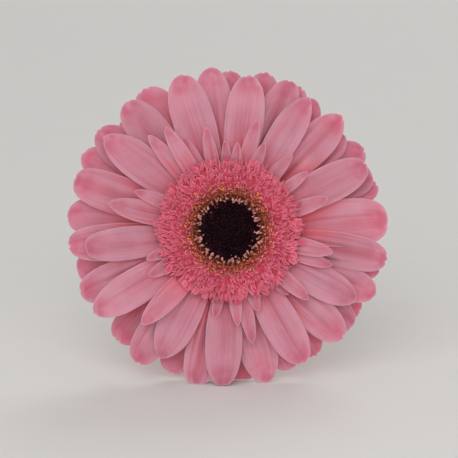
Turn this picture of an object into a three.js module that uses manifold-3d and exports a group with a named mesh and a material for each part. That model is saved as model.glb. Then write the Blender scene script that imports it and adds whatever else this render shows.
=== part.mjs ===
// A cut gerbera laid on a table: one pink bloom on a long leafless stem.
//
// Millimetres, +Z up, the table at z = 0, the origin under the middle of the whole flower.
// The bloom faces -Y and looks a little upwards; the stem runs back along +Y to its cut end.
//
// Each whorl of florets is one solid of its own: its florets are sunk into a short collar, and the
// collars are stacked up the bloom's axis, as the whorls are on the real flower head.

import * as THREE from "three";
import { mergeVertices } from "three/addons/utils/BufferGeometryUtils.js";
import Module from "manifold-3d";

const wasm = await Module();
wasm.setup();

// ---- Where the bloom and the stem lie ----

const bloomTilt = 11; // degrees that the bloom's face looks up
const bloomCentre = new THREE.Vector3(0.4, -153.5, 50.5); // on the bloom's axis, at the involucre's rim
const stemEnd = new THREE.Vector3(9, 174, 3.35); // middle of the cut end
const gap = 0.3; // clearance between neighbouring solids

// ---- Whorls: [direction in degrees, reach from the axis, width at the broadest, point] ----
// Directions run anticlockwise from the right, looking at the bloom's face. The point says how much the
// petal narrows from its broadest place to its tip, less for a blunt petal.

const backPetals = [
  [16.5, 53.6, 11.5, 1.15], [21.5, 52.6, 12, 0.6], [31.8, 54.3, 13.5, 1], [41.5, 51.5, 13.5, 0.8],
  [56.5, 53.8, 13, 1.25], [64, 55, 11.5, 1], [76, 55.8, 12.5, 1], [90, 54.7, 12, 0.9],
  [104.5, 52.2, 13.5, 1], [120.8, 56.7, 15.2, 1], [133.5, 52.8, 13, 1], [142.5, 56.7, 14.5, 1.15],
  [152.5, 56.9, 13.5, 1.15], [174, 55.7, 14, 0.85], [196, 54, 13, 0.6], [207.5, 52.4, 12.5, 1],
  [224.8, 54.4, 13.4, 0.8], [236, 51.6, 13, 1], [247, 53.1, 12.5, 0.7], [262, 51, 13, 1],
  [275, 52.8, 13, 0.9], [294, 52.3, 13, 0.9], [305.5, 52.6, 12.5, 1], [322, 53.8, 12, 0.7],
  [328, 53.2, 11.5, 0.6], [344.5, 53.5, 11, 1], [356, 48.6, 12, 1],
];
const middlePetals = [
  [3.7, 54.5, 16.5, 0.7], [45.2, 55, 12.8, 1.4], [68, 55.3, 12.4, 0.9], [97, 56, 12.6, 1],
  [129, 56.2, 13.8, 1], [162.7, 55.6, 13.4, 0.65], [186, 55.3, 12.6, 0.9], [203.5, 55.3, 12.4, 0.75],
  [234.7, 55.5, 12.8, 0.9], [258, 54.7, 12.2, 0.9], [283.8, 54, 13, 1.25], [316, 53.8, 12.8, 1],
  [335.7, 54.8, 12.2, 0.95], [350, 55, 12, 0.8],
];
const frontPetals = [
  [24.5, 52.1, 12.8, 1], [59.5, 52.9, 11.2, 1.6], [82, 53.3, 13.2, 1.05], [108, 55.5, 14.2, 1],
  [142.8, 53.3, 12.6, 1.55], [187.5, 49.4, 11.4, 0.7], [211.3, 54.3, 12.6, 1.35], [241, 49.8, 13, 1.6],
  [267.2, 53.5, 12.6, 1.05], [299, 52.1, 13, 1.05], [330.5, 49.6, 11.5, 1.25],
];
const innerPoint = 1.3; // the same for every inner petal
const innerPetals = [
  [17, 35.4, 5.4], [36, 33.3, 4.2], [51, 33.7, 4.8], [68, 32, 4.2], [76, 38.8, 5.2], [84, 30, 3.8],
  [92, 30.4, 3.8], [103.5, 35.8, 4.6], [116.5, 35.4, 5.4], [122, 41.2, 5.6], [130, 42.3, 5.6],
  [157, 34.7, 4.8], [168, 41.9, 7.8], [199, 30, 4.2], [210, 31.8, 5], [228, 43.6, 7.8],
  [261, 30.2, 4.2], [275, 32.7, 4.2], [282, 39.5, 5], [290, 29.4, 4.6], [312, 30, 4],
  [319, 35.8, 5.4], [340.5, 37.1, 4.8], [347.5, 36.1, 5.8],
].map((shape) => [...shape, innerPoint]);

// How each whorl is built. Heights are above the involucre's rim, angles in degrees. Petals take two
// levels in turn, the second one higher by the step and steeper by the spread. The shoulder is the share of
// a petal's length where it is broadest, and the tip is the width of its end as a share of its broadest
// width.
const whorls = [
  {
    name: "ray_petals_back", petals: backPetals, rows: 6, seed: 11, shoulder: 0.7, tip: 0.3,
    collar: [0.3, 2.5], root: 0.85, step: 0.95, rise: 0, spread: 2.4, droop: 1.4, cup: 0.7,
  },
  {
    name: "ray_petals_middle", petals: middlePetals, rows: 7, seed: 23, shoulder: 0.68, tip: 0.3,
    collar: [2.8, 4.0], root: 3.2, step: 0, rise: 6, spread: 1, droop: 2.2, cup: 0.9,
  },
  {
    name: "ray_petals_front", petals: frontPetals, rows: 7, seed: 37, shoulder: 0.64, tip: 0.26,
    collar: [4.3, 5.5], root: 4.7, step: 0, rise: 10.5, spread: 0, droop: 2.8, cup: 0.7,
  },
  {
    name: "inner_petals", petals: innerPetals, rows: 5, seed: 41, shoulder: 0.56, tip: 0.16,
    collar: [5.85, 7.0], root: 6.4, step: 0, rise: 12.5, spread: 4, droop: 0.5, cup: 0.5,
  },
];
const collarRadius = 12;
const petalRoot = 9.5; // radius where a petal's root starts, inside the collar
const petalThickness = 0.7;

// ---- The disc in the middle of the bloom: each ring's inner and outer radius ----

const budRadius = 8.9;
const stigmaRing = [9.2, 11.4];
const antherRing = [11.7, 13.8];
const floretRing = [14.1, 23.4];
const discFloor = 7.3; // height of the disc's underside in the middle, just over the inner petals' collar

// ---- Involucre and stem ----

const involucreDepth = 15.5;
const involucreRadius = 13.4;
const neckRadius = 3.3;
const stemRadius = 3.0;
const stemEndRadius = 3.5;
const cutAngle = 35; // degrees off square, as a slanting cut for a vase

const rad = THREE.MathUtils.degToRad;

// ---- Small helpers ----

// Repeatable draws between -1 and 1.
function dice(seed) {
  let state = seed;
  return () => {
    state = (state * 16807) % 2147483647;
    return (2 * state) / 2147483647 - 1;
  };
}

// A closed geometry from points and triangles.
function closedGeometry(points, triangles) {
  const geometry = new THREE.BufferGeometry().setFromPoints(points);
  geometry.setIndex(triangles.flat());
  return geometry;
}

// A mesh's geometry as a solid that can be joined and cut.
function solid(geometry) {
  const bare = geometry.clone();
  bare.deleteAttribute("normal");
  bare.deleteAttribute("uv");
  const merged = mergeVertices(bare, 1e-4);
  return new wasm.Manifold(
    new wasm.Mesh({
      numProp: 3,
      vertProperties: new Float32Array(merged.attributes.position.array),
      triVerts: new Uint32Array(merged.index.array),
    }),
  );
}

function joined(geometries) {
  return geometries.map(solid).reduce((whole, piece) => whole.add(piece));
}

function geometryOf(made) {
  const { vertProperties, triVerts } = made.getMesh();
  return new THREE.BufferGeometry()
    .setAttribute("position", new THREE.BufferAttribute(new Float32Array(vertProperties), 3))
    .setIndex(new THREE.BufferAttribute(new Uint32Array(triVerts), 1));
}

// A body turned about the bloom's axis from a closed outline of [radius, height] points.
function turned(outline, sides) {
  const profile = outline.map(([radius, height]) => new THREE.Vector2(radius, height));
  if (outline[0][0] > 0) profile.push(profile[0].clone());
  const geometry = new THREE.LatheGeometry(profile, sides);
  geometry.rotateX(Math.PI / 2);
  return geometry;
}

// A thin blade from a grid of points: each row runs across it, the rows from root to tip. Both faces
// are split along the same diagonals.
function blade(rows, thickness) {
  const across = rows[0].length;
  const lift = new THREE.Vector3();
  const points = [];
  for (const side of [0.5, -0.5]) {
    rows.forEach((row, i) => {
      const before = rows[Math.max(i - 1, 0)];
      const after = rows[Math.min(i + 1, rows.length - 1)];
      row.forEach((point, j) => {
        const along = after[j].clone().sub(before[j]);
        const sideways = row[Math.max(j - 1, 0)].clone().sub(row[Math.min(j + 1, across - 1)]);
        lift.crossVectors(along, sideways).normalize();
        points.push(point.clone().addScaledVector(lift, side * thickness));
      });
    });
  }
  const at = (face, i, j) => (face * rows.length + i) * across + j;
  const triangles = [];
  const quad = (a, b, c, d) => triangles.push([a, b, c], [a, c, d]);
  const last = rows.length - 1;
  for (let i = 0; i < last; i++) {
    for (let j = 0; j < across - 1; j++) {
      quad(at(0, i, j), at(0, i, j + 1), at(0, i + 1, j + 1), at(0, i + 1, j));
      triangles.push([at(1, i, j), at(1, i + 1, j + 1), at(1, i, j + 1)]);
      triangles.push([at(1, i, j), at(1, i + 1, j), at(1, i + 1, j + 1)]);
    }
    quad(at(0, i, 0), at(0, i + 1, 0), at(1, i + 1, 0), at(1, i, 0));
    quad(at(0, i + 1, across - 1), at(0, i, across - 1), at(1, i, across - 1), at(1, i + 1, across - 1));
  }
  for (let j = 0; j < across - 1; j++) {
    quad(at(0, 0, j + 1), at(0, 0, j), at(1, 0, j), at(1, 0, j + 1));
    quad(at(0, last, j), at(0, last, j + 1), at(1, last, j + 1), at(1, last, j));
  }
  return closedGeometry(points, triangles);
}

// ---- Ray petals and inner petals ----

// Half a petal's width at share t of its length, as a share of its broadest half.
function petalHalfWidth(t, point, { shoulder, tip }) {
  const rootWidth = 0.2;
  if (t < shoulder) {
    return rootWidth + (1 - rootWidth) * Math.sin((Math.PI / 2) * (t / shoulder)) ** 1.15;
  }
  const toTip = (t - shoulder) / (1 - shoulder);
  return Math.max(tip, (1 - toTip ** 2.8) ** (0.62 * point));
}

// Rows are closer together towards the rounded tip.
function rowPlaces(count) {
  return Array.from({ length: count }, (_, i) => 1 - (1 - i / (count - 1)) ** 1.7);
}

function petal([direction, reach, width, point], whorl, level, vary) {
  const length = reach - petalRoot;
  const rise = Math.tan(rad(whorl.rise + level * whorl.spread + 0.6 * vary()));
  const droop = whorl.droop * (1 + 0.25 * vary());
  const lean = 1.6 * vary(); // degrees that the tip swings sideways
  const twist = Math.tan(rad(3.5 * vary()));
  const cup = whorl.cup * (1 + 0.3 * vary());
  return blade(
    rowPlaces(whorl.rows).map((t) => {
      const angle = rad(direction + lean * (t ** 2 - 0.5 * t));
      const out = new THREE.Vector3(Math.cos(angle), Math.sin(angle), 0);
      const sideways = new THREE.Vector3(-out.y, out.x, 0);
      const radius = petalRoot + length * t;
      const half = (width / 2) * petalHalfWidth(t, point, whorl);
      const middle = whorl.root + level * whorl.step + rise * length * t - droop * t ** 3;
      const edge = cup * Math.min(1, 4 * t) * (2 * half) / width;
      return [-1, 0, 1].map((u) =>
        out.clone().multiplyScalar(radius).addScaledVector(sideways, u * half)
          .setZ(middle + edge * u ** 2 + twist * u * half * t),
      );
    }),
    petalThickness,
  );
}

function whorlSolid(whorl) {
  const vary = dice(whorl.seed);
  const [low, high] = whorl.collar;
  const collar = turned([[0, low], [collarRadius, low], [collarRadius, high], [0, high]], 36);
  const petals = whorl.petals.map((shape, i) => petal(shape, whorl, i % 2, vary));
  return joined([collar, ...petals]);
}

// ---- The disc: short florets, anthers, stigmas and the dark buds ----

// A three-sided spike from its foot, sunk in the ring that carries it, to its tip.
function spike(foot, tip, thickness) {
  const along = tip.clone().sub(foot);
  const outward = new THREE.Vector3(foot.x, foot.y, 0).normalize();
  const sideways = new THREE.Vector3().crossVectors(along, outward).normalize();
  const back = new THREE.Vector3().crossVectors(along, sideways).normalize();
  const corners = [0, 1, 2].map((k) => {
    const angle = (2 * Math.PI * k) / 3 + Math.PI / 2;
    return foot.clone()
      .addScaledVector(sideways, thickness * Math.cos(angle))
      .addScaledVector(back, thickness * Math.sin(angle));
  });
  return closedGeometry([...corners, tip], [[2, 1, 0], [0, 1, 3], [1, 2, 3], [2, 0, 3]]);
}

// One ring of spikes. Tips lie at tipRadius and tipHeight, give or take.
function spikeRing({ count, radius, height, tipRadius, tipHeight, thickness, turn = 0 }, vary) {
  return Array.from({ length: count }, (_, i) => {
    const angle = ((i + turn + 0.2 * vary()) * 2 * Math.PI) / count;
    const tipAngle = angle + (0.3 * vary() * 2 * Math.PI) / count;
    const tipAt = tipRadius + 0.35 * vary();
    return spike(
      new THREE.Vector3(radius * Math.cos(angle), radius * Math.sin(angle), height),
      new THREE.Vector3(tipAt * Math.cos(tipAngle), tipAt * Math.sin(tipAngle), tipHeight + 0.4 * vary()),
      thickness,
    );
  });
}

const floretRows = [
  { count: 26, radius: 15.4, height: 15.2, tipRadius: 16.2, tipHeight: 18.6, thickness: 1.1 },
  { count: 30, radius: 17.4, height: 15.2, tipRadius: 18.8, tipHeight: 18.4, thickness: 1.2, turn: 0.5 },
  { count: 34, radius: 19.4, height: 14.4, tipRadius: 21.8, tipHeight: 17.4, thickness: 1.3 },
  { count: 38, radius: 21.2, height: 13.4, tipRadius: 24.4, tipHeight: 15.9, thickness: 1.3, turn: 0.5 },
  { count: 40, radius: 22.0, height: 13.1, tipRadius: 26.6, tipHeight: 14.0, thickness: 1.0 },
];

function discFlorets() {
  const vary = dice(53);
  const [inner, outer] = floretRing;
  const core = turned(
    [[inner, 8.7], [outer, 12.1], [outer, 13.4], [21.6, 14.8], [18.4, 16.2], [15.4, 16.2], [inner, 15.2]],
    40,
  );
  return joined([core, ...floretRows.flatMap((row) => spikeRing(row, vary))]);
}

function anthers() {
  const vary = dice(61);
  const [inner, outer] = antherRing;
  const core = turned([[inner, 8.0], [outer, 8.6], [outer, 14.4], [inner, 13.6]], 36);
  const row = { count: 40, radius: 12.8, height: 13.2, tipRadius: 12.9, tipHeight: 17.0, thickness: 0.8 };
  return joined([core, ...spikeRing(row, vary)]);
}

function stigmas() {
  const vary = dice(67);
  const [inner, outer] = stigmaRing;
  const core = turned([[inner, discFloor], [outer, discFloor + 0.3], [outer, 13.2], [inner, 12.6]], 36);
  const row = { count: 36, radius: 10.4, height: 12.0, tipRadius: 9.9, tipHeight: 15.6, thickness: 0.8 };
  return joined([core, ...spikeRing(row, vary)]);
}

// The closed buds in the middle: a low dome whose top is raised into a bud at every other corner.
function budDome() {
  const rings = 7;
  const sides = 30;
  const rimHeight = 12.2;
  const budHeight = 0.7;
  const points = [new THREE.Vector3(0, 0, rimHeight + 0.5)];
  for (let i = 1; i <= rings; i++) {
    const radius = (budRadius * i) / rings;
    for (let j = 0; j < sides; j++) {
      const angle = ((j + 0.5 * i) * 2 * Math.PI) / sides;
      const raised = (i + j) % 2 && i < rings ? budHeight : 0;
      const height = rimHeight + 0.5 * Math.cos((Math.PI / 2) * (i / rings)) + raised;
      points.push(new THREE.Vector3(radius * Math.cos(angle), radius * Math.sin(angle), height));
    }
  }
  const foot = points.length;
  for (let j = 0; j < sides; j++) points.push(points[foot - sides + j].clone().setZ(discFloor));
  points.push(new THREE.Vector3(0, 0, discFloor));
  const triangles = [];
  for (let j = 0; j < sides; j++) {
    const next = (j + 1) % sides;
    triangles.push([0, 1 + j, 1 + next]);
    for (let i = 0; i < rings; i++) {
      const low = 1 + i * sides;
      const high = low + sides;
      triangles.push([low + j, high + j, high + next], [low + j, high + next, low + next]);
    }
    triangles.push([points.length - 1, foot + next, foot + j]);
  }
  return solid(closedGeometry(points, triangles));
}

// ---- Involucre: the green cup under the bloom, and its bracts ----

// Rows of bracts from the outermost: where a bract leaves the cup and its tip lies, as [radius, height].
const bractRows = [
  { count: 10, root: [6.2, -13.2], tip: [12.6, -8.2], width: 3.6 },
  { count: 13, root: [9.4, -10.4], tip: [15.0, -4.6], width: 3.8 },
  { count: 16, root: [11.6, -7.2], tip: [17.4, -2.0], width: 3.8, turn: 0.5 },
];

function bract({ count, root, tip, width, turn = 0 }, i, vary) {
  const angle = ((i + turn + 0.12 * vary()) * 2 * Math.PI) / count;
  const out = new THREE.Vector3(Math.cos(angle), Math.sin(angle), 0);
  const sideways = new THREE.Vector3(-out.y, out.x, 0);
  const reach = 1 + 0.04 * vary();
  const halfWidths = [0.8, 1, 0.12];
  return blade(
    halfWidths.map((share, row) => {
      const t = row / (halfWidths.length - 1);
      const radius = root[0] + (tip[0] * reach - root[0]) * t;
      const height = root[1] + (tip[1] - root[1]) * t ** 1.15;
      return [-1, 1].map((u) =>
        out.clone().multiplyScalar(radius).addScaledVector(sideways, (u * share * width) / 2).setZ(height),
      );
    }),
    0.8,
  );
}

function involucre() {
  const vary = dice(71);
  const bottom = [[0, -involucreDepth], [neckRadius, -involucreDepth], [4.6, -14.6]];
  const side = [[8.4, -12.2], [11.4, -8.6], [13, -4], [involucreRadius, 0]];
  const cup = turned([...bottom, ...side, [0, 0]], 26);
  const bracts = bractRows.flatMap((row) => Array.from({ length: row.count }, (_, i) => bract(row, i, vary)));
  return joined([cup, ...bracts]);
}

// ---- Stem ----

// The stem leaves the bloom along its axis and settles towards the table.
function stemPath() {
  const backwards = new THREE.Vector3(0, Math.cos(rad(bloomTilt)), -Math.sin(rad(bloomTilt)));
  const start = bloomCentre.clone().addScaledVector(backwards, involucreDepth + gap);
  const reach = stemEnd.y - start.y;
  const early = start.clone().addScaledVector(backwards, 0.36 * reach);
  const late = stemEnd.clone().add(new THREE.Vector3(-7, -0.36 * reach, 12));
  return new THREE.CubicBezierCurve3(start, early, late, stemEnd);
}

// Stout where it meets the bloom, slimmest below the neck and thicker again towards the cut.
function stemRadiusAt(t) {
  const neck = (neckRadius - stemRadius) * Math.exp(-t / 0.03);
  return stemRadius + neck + (stemEndRadius - stemRadius) * t;
}

function stem() {
  const path = stemPath();
  const steps = 34;
  const sides = 12;
  const frames = path.computeFrenetFrames(steps, false);
  const slant = Math.tan(rad(cutAngle));
  const points = [];
  for (let i = 0; i <= steps; i++) {
    const t = i / steps;
    const centre = path.getPointAt(t);
    for (let j = 0; j < sides; j++) {
      const angle = (j * 2 * Math.PI) / sides;
      const point = new THREE.Vector3()
        .addScaledVector(frames.normals[i], Math.cos(angle))
        .addScaledVector(frames.binormals[i], Math.sin(angle))
        .multiplyScalar(stemRadiusAt(t));
      if (i === steps) point.addScaledVector(frames.tangents[i], -slant * point.z);
      points.push(point.add(centre));
    }
  }
  const triangles = [];
  for (let i = 0; i < steps; i++) {
    for (let j = 0; j < sides; j++) {
      const [a, b] = [i * sides + j, i * sides + ((j + 1) % sides)];
      triangles.push([a, b, b + sides], [a, b + sides, a + sides]);
    }
  }
  points.push(path.getPointAt(0), path.getPointAt(1));
  const [top, end] = [points.length - 2, points.length - 1];
  for (let j = 0; j < sides; j++) {
    const next = (j + 1) % sides;
    triangles.push([top, next, j], [end, steps * sides + j, steps * sides + next]);
  }
  return solid(closedGeometry(points, triangles));
}

// ---- Assembly ----

const materials = {
  petal: { color: "#c97f8f", roughness: 0.6 },
  backPetal: { color: "#bf7485", roughness: 0.6 },
  floret: { color: "#b94a60", roughness: 0.6 },
  anther: { color: "#b9772f", roughness: 0.7 },
  stigma: { color: "#a78078", roughness: 0.7 },
  bud: { color: "#1b0c12", roughness: 0.8 },
  green: { color: "#6f8a45", roughness: 0.65 },
  bract: { color: "#5d7a3c", roughness: 0.65 },
};

function piece(name, made, look) {
  const mesh = new THREE.Mesh(
    geometryOf(made),
    new THREE.MeshStandardMaterial({ ...materials[look], metalness: 0 }),
  );
  mesh.name = name;
  return mesh;
}

// What would reach below the table is flattened where it touches it.
function restedOnTable(made, matrix) {
  const size = 1000;
  const below = new THREE.BoxGeometry(size, size, size).translate(0, 0, -size / 2);
  return made.subtract(solid(below.applyMatrix4(matrix.clone().invert())));
}

const bloom = new THREE.Group();
bloom.position.copy(bloomCentre);
bloom.rotation.x = Math.PI / 2 - rad(bloomTilt);
bloom.updateMatrix();

for (const whorl of whorls) {
  const look = whorl.name === "ray_petals_back" ? "backPetal" : "petal";
  bloom.add(piece(whorl.name, restedOnTable(whorlSolid(whorl), bloom.matrix), look));
}
bloom.add(piece("disc_florets", discFlorets(), "floret"));
bloom.add(piece("anthers", anthers(), "anther"));
bloom.add(piece("stigmas", stigmas(), "stigma"));
bloom.add(piece("disc_buds", budDome(), "bud"));
bloom.add(piece("involucre", involucre(), "bract"));

const flower = new THREE.Group();
flower.add(bloom);
flower.add(piece("stem", restedOnTable(stem(), new THREE.Matrix4()), "green"));

export default flower;
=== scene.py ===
import math

import bpy
from mathutils import Matrix, Vector


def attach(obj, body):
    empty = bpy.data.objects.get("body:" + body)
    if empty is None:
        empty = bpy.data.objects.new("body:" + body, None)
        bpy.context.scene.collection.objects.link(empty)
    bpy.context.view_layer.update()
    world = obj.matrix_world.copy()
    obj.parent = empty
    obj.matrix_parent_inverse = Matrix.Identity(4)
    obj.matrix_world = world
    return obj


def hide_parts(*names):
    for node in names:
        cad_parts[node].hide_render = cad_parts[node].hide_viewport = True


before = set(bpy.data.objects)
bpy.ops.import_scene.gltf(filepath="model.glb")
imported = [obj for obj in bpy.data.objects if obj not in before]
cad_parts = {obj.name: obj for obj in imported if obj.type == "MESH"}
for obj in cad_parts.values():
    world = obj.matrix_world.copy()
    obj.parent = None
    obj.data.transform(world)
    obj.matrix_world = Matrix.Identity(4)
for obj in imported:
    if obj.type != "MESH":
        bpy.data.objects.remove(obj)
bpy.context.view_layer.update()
print("frame loaded")

mm = 0.001

# Where the bloom is: its axis leaves the middle of the bloom's face, which looks up by the tilt.
bloom = {
    "tilt": 11.0, "centre": (0.4, -153.5, 50.5), "faceHeight": 9.0,
}
bloomMatrix = (
    Matrix.Translation(Vector(bloom["centre"]) * mm)
    @ Matrix.Rotation(math.radians(90 - bloom["tilt"]), 4, "X")
    @ Matrix.Scale(mm, 4)
)


def dice(seed):
    # Repeatable draws between -1 and 1.
    state = seed
    while True:
        state = (state * 16807) % 2147483647
        yield 2 * state / 2147483647 - 1


def smooth(low, high, value):
    share = min(1, max(0, (value - low) / (high - low)))
    return share * share * (3 - 2 * share)


def bump(value, middle, width):
    return math.exp(-((value - middle) / width) ** 2)


def linked(name, data):
    thing = bpy.data.objects.new(name, data)
    bpy.context.scene.collection.objects.link(thing)
    return thing


class MeshMaker:
    # Collects points and faces. Each point has a place on its petal (across, along), a tone, how much
    # painted groove shade it gets (on the stem, whether it lies on the cut end) and how far it lies on the
    # underside.
    def __init__(self):
        self.points = []
        self.faces = []
        self.places = []
        self.values = {"tone": [], "hollow": [], "underside": []}

    def addPoint(self, point, place=(0.5, 0.5), tone=0.0, hollow=0.0, underside=0.0):
        self.points.append(Vector(point))
        self.places.append(place)
        self.values["tone"].append(tone)
        self.values["hollow"].append(hollow)
        self.values["underside"].append(underside)
        return len(self.points) - 1

    def addFace(self, *corners):
        self.faces.append(corners)

    def joinRings(self, rings, flipped=False):
        # Faces from each ring of points to the next. A ring may be a single point.
        for low, high in zip(rings, rings[1:]):
            sides = max(len(low), len(high))
            for j in range(sides):
                following = (j + 1) % sides
                if len(low) == 1:
                    self.addFace(low[0], high[following], high[j])
                elif len(high) == 1:
                    self.addFace(low[j], low[following], high[0])
                elif flipped:
                    self.addFace(low[j], high[j], high[following], low[following])
                else:
                    self.addFace(low[j], low[following], high[following], high[j])

    def finish(self, name, material, matrix=None, isSmooth=True):
        mesh = bpy.data.meshes.new(name)
        mesh.from_pydata(self.points, [], self.faces)
        uvs = mesh.uv_layers.new(name="UVMap")
        for loop in mesh.loops:
            uvs.data[loop.index].uv = self.places[loop.vertex_index]
        for label, values in self.values.items():
            attribute = mesh.attributes.new(label, "FLOAT", "POINT")
            attribute.data.foreach_set("value", values)
        if matrix is not None:
            mesh.transform(matrix)
        if isSmooth:
            mesh.shade_smooth()
        mesh.materials.append(material)
        mesh.update()
        return linked(name, mesh)


def gridNormal(rows, i, j):
    before = rows[max(i - 1, 0)][j]
    after = rows[min(i + 1, len(rows) - 1)][j]
    right = rows[i][max(j - 1, 0)]
    left = rows[i][min(j + 1, len(rows[i]) - 1)]
    return (after - before).cross(left - right).normalized()


def addBlade(maker, rows, places, thickness, tone=0.0, hollows=None):
    # A closed blade round rows of points from root to tip, each from right to left. The thickness depends
    # on the place, and hollows say how much painted groove shade each point gets.
    count = len(rows)
    across = len(rows[0])
    sides = []
    for face in (1, -1):
        side = []
        for i, row in enumerate(rows):
            side.append([])
            for j, point in enumerate(row):
                lift = gridNormal(rows, i, j) * (face * thickness(places[i][j]) / 2)
                hollow = hollows[i][j] if hollows else 0.0
                side[i].append(maker.addPoint(point + lift, places[i][j], tone, hollow, 0.5 - face / 2))
        sides.append(side)
    top, under = sides
    for i in range(count - 1):
        for j in range(across - 1):
            maker.addFace(top[i][j], top[i + 1][j], top[i + 1][j + 1], top[i][j + 1])
            maker.addFace(under[i][j], under[i][j + 1], under[i + 1][j + 1], under[i + 1][j])
        maker.addFace(top[i][0], under[i][0], under[i + 1][0], top[i + 1][0])
        maker.addFace(top[i + 1][-1], under[i + 1][-1], under[i][-1], top[i][-1])
    for j in range(across - 1):
        maker.addFace(top[0][j + 1], under[0][j + 1], under[0][j], top[0][j])
        maker.addFace(top[-1][j], under[-1][j], under[-1][j + 1], top[-1][j + 1])


def turnedPiece(name, finish, outline, sides):
    # A closed body turned about the bloom's axis: a ring's section or an outline from axis to axis.
    maker = MeshMaker()
    rings = []
    for k, (radius, height) in enumerate(outline):
        ring = []
        for j in range(sides if radius else 1):
            angle = 2 * math.pi * j / sides
            place = (j / sides if radius else 0.5, k / (len(outline) - 1))
            point = (radius * math.cos(angle), radius * math.sin(angle), height)
            ring.append(maker.addPoint(point, place))
        rings.append(ring)
    if outline[0][0] > 0:
        rings.append(rings[0])
    maker.joinRings(rings)
    return maker.finish(name, materials[finish], bloomMatrix)


def keep(piece, slot, *nodes):
    # Every piece moves with the flower's one body and stands for the CAD nodes that it refines.
    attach(piece, "root")
    if nodes:
        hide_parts(*nodes)
    print("made", piece.name, len(piece.data.polygons), "faces")


class TreeMaker:
    # Adds nodes to a tree. An input is given a plain value or another node's socket.
    def __init__(self, tree):
        self.tree = tree

    def feed(self, socket, value):
        if isinstance(value, bpy.types.NodeSocket):
            self.tree.links.new(value, socket)
        else:
            socket.default_value = value

    def node(self, kind, inputs=None, **settings):
        node = self.tree.nodes.new(kind)
        for name, value in settings.items():
            setattr(node, name, value)
        for key, value in (inputs or {}).items():
            self.feed(node.inputs[key], value)
        return node

    def add(self, kind, inputs=None, **settings):
        return self.node(kind, inputs, **settings).outputs[0]

    def calc(self, operation, *values, clamp=False):
        return self.add("ShaderNodeMath", dict(enumerate(values)), operation=operation, use_clamp=clamp)

    def plus(self, first, second):
        return self.calc("ADD", first, second)

    def minus(self, first, second):
        return self.calc("SUBTRACT", first, second)

    def times(self, value, *factors):
        for factor in factors:
            value = self.calc("MULTIPLY", value, factor)
        return value

    def timesPlus(self, value, factor, added):
        return self.calc("MULTIPLY_ADD", value, factor, added)

    def ease(self, value, low, high):
        inputs = {"Value": value, "From Min": low, "From Max": high}
        return self.add("ShaderNodeMapRange", inputs, interpolation_type="SMOOTHSTEP")

    def vector(self, x, y, z):
        return self.add("ShaderNodeCombineXYZ", {0: x, 1: y, 2: z})

    def mixColour(self, share, first, second, blend="MIX"):
        inputs = {0: share, 6: first, 7: second}
        return self.node("ShaderNodeMix", inputs, data_type="RGBA", blend_type=blend).outputs[2]

    def attribute(self, name):
        return self.node("ShaderNodeAttribute", attribute_name=name).outputs["Fac"]

    def objectPlace(self):
        return self.node("ShaderNodeTexCoord").outputs["Object"]

    def noise(self, where, scale, detail):
        return self.add("ShaderNodeTexNoise", {"Vector": where, "Scale": scale, "Detail": detail})

    def turned(self, rotation, ownTurn):
        # A rotation followed by a turn about the copy's own axes.
        inputs = {0: rotation, 1: self.add("FunctionNodeEulerToRotation", {0: ownTurn})}
        return self.add("FunctionNodeRotateRotation", inputs, rotation_space="LOCAL")

    def around(self, value, spread):
        # 1 + spread * (2 * value - 1), for a value from 0 to 1.
        return self.timesPlus(self.timesPlus(value, 2.0, -1.0), spread, 1.0)


def opaque(shade):
    return (*shade, 1.0)


def newGroup(name, kind, inputs, outputs):
    # A node group, what it is given and what it puts out. Sockets are {name: default or type}.
    make = TreeMaker(bpy.data.node_groups.new(name, kind))
    interface = make.tree.interface
    for direction, sockets in (("INPUT", inputs), ("OUTPUT", outputs)):
        for label, value in sockets.items():
            if isinstance(value, str):
                socketType = value
            elif isinstance(value, tuple):
                socketType = "Color" if label.endswith("Colour") else "Vector"
            else:
                socketType = "Int" if isinstance(value, int) else "Float"
            socket = interface.new_socket(label, in_out=direction, socket_type="NodeSocket" + socketType)
            if not isinstance(value, str):
                socket.default_value = opaque(value) if socketType == "Color" else value
    return make, make.node("NodeGroupInput").outputs, make.node("NodeGroupOutput").inputs


def petalPlace(make):
    # A point's place on its petal: across, along, and how far from the middle line.
    place = make.add("ShaderNodeUVMap", uv_map="UVMap")
    across, along = make.node("ShaderNodeSeparateXYZ", {0: place}).outputs[:2]
    return across, along, make.calc("ABSOLUTE", make.timesPlus(across, 2.0, -1.0))


finishResults = {"Colour": "Color", "Height": "Float"}
# A middle petal's colours. The other kinds of petal say only what differs. The root colour is partly the
# petal's deeper base and partly painted warm shade, the patch colour is painted sheen, the groove colour
# is painted shade in the grooves, the rim colour is a painted highlight, and the tip colour is a blush
# with painted shade towards the tip.
petalColours = {
    "Colour": (0.51, 0.2, 0.265), "Root Colour": (0.84, 0.08, 0.11), "Tip Colour": (0.42, 0.07, 0.135),
    "Rim Highlight Colour": (0.65, 0.36, 0.41), "Groove Shade Colour": (0.5, 0.075, 0.11),
    "Underside Colour": (0.86, 0.41, 0.46), "Sheen Patch Colour": (0.565, 0.29, 0.365), "Patch Strength": 0.7,
    "Patch Start": 0.2, "Root Length": 0.62, "Root Shade Spread": 0.3, "Tip Length": 0.19, "Tip Strength": 0.65,
    "Rim Width": 0.05, "Tip Rim Width": 0.014, "Streaks": 14.0, "Streak Strength": 0.13,
    "Groove Line Strength": 0.45, "Mottle Strength": 0.13, "Variety": 0.05,
}
# How fine the patterns on a petal are, streaks and painted groove lines by their own place and the others
# by the metre.
petalPattern = {
    "mottle": 170.0, "skin": 3200.0, "sheenPatches": 75.0, "blush": 260.0, "streak": 1.6, "grooveLineShade": 1.3,
}


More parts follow.
